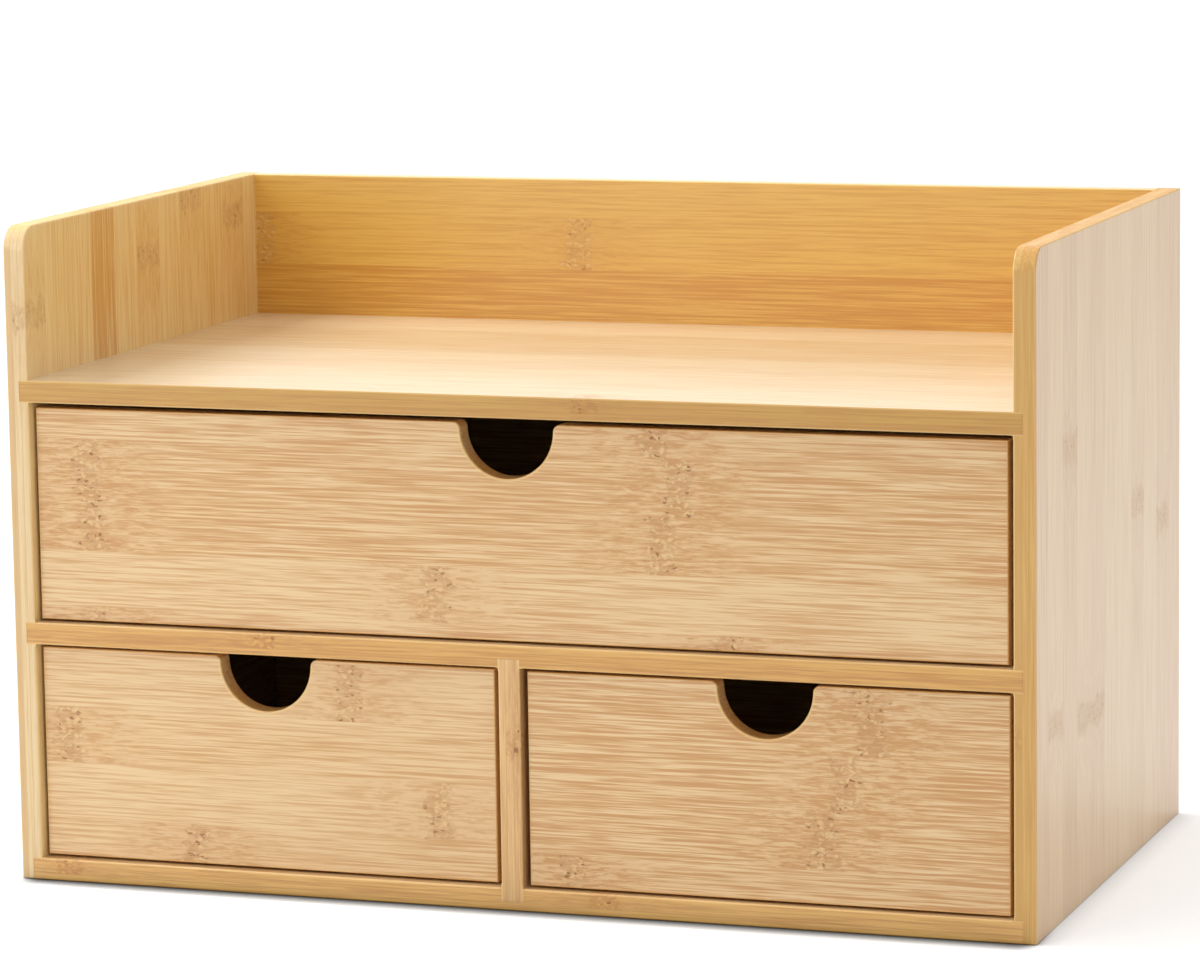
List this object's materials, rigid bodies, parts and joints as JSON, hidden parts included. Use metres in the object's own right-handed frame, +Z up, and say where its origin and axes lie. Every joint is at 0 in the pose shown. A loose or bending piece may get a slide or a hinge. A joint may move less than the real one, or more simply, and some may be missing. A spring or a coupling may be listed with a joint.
{
  "type": "desktop mini drawers",
  "caption": "Bamboo desktop case with an open tray on top, a wide drawer below it and half-width drawers at the bottom, each with a half-round finger notch.",
  "frame": {"origin": "middle of the footprint, on the surface that the case stands on", "axes": "+Z up, +X to the right seen from the front, the drawers open towards -Y"},
  "size_m": [0.33, 0.19, 0.207],
  "materials": {
    "bamboo_sides": "satin clear lacquer over bamboo",
    "bamboo_tray_shelf": "satin clear lacquer over bamboo",
    "bamboo_shelves": "satin clear lacquer over bamboo",
    "bamboo_divider": "satin clear lacquer over bamboo",
    "bamboo_back": "satin clear lacquer over bamboo",
    "bamboo_fronts": "satin clear lacquer over bamboo",
    "bamboo_boxes": "satin clear lacquer over bamboo",
    "plywood_bottoms": "thin plywood, lightly sealed"
  },
  "bodies": {
    "case": {"side_left": "bamboo_sides", "side_right": "bamboo_sides", "tray_shelf": "bamboo_tray_shelf", "middle_shelf": "bamboo_shelves", "bottom_board": "bamboo_shelves", "divider": "bamboo_divider", "back_panel": "bamboo_back"},
    "upper_drawer": {"upper_drawer_front": "bamboo_fronts", "upper_drawer_side_left": "bamboo_boxes", "upper_drawer_side_right": "bamboo_boxes", "upper_drawer_back": "bamboo_boxes", "upper_drawer_bottom": "plywood_bottoms"},
    "left_drawer": {"left_drawer_front": "bamboo_fronts", "left_drawer_side_left": "bamboo_boxes", "left_drawer_side_right": "bamboo_boxes", "left_drawer_back": "bamboo_boxes", "left_drawer_bottom": "plywood_bottoms"},
    "right_drawer": {"right_drawer_front": "bamboo_fronts", "right_drawer_side_left": "bamboo_boxes", "right_drawer_side_right": "bamboo_boxes", "right_drawer_back": "bamboo_boxes", "right_drawer_bottom": "plywood_bottoms"}
  },
  "joints": [
    {"name": "upper_drawer_slide", "type": "slide", "parent": "case", "child": "upper_drawer", "axis": [0, -1, 0], "range_m": [0, 0.19]},
    {"name": "left_drawer_slide", "type": "slide", "parent": "case", "child": "left_drawer", "axis": [0, -1, 0], "range_m": [0, 0.19]},
    {"name": "right_drawer_slide", "type": "slide", "parent": "case", "child": "right_drawer", "axis": [0, -1, 0], "range_m": [0, 0.19]}
  ]
}
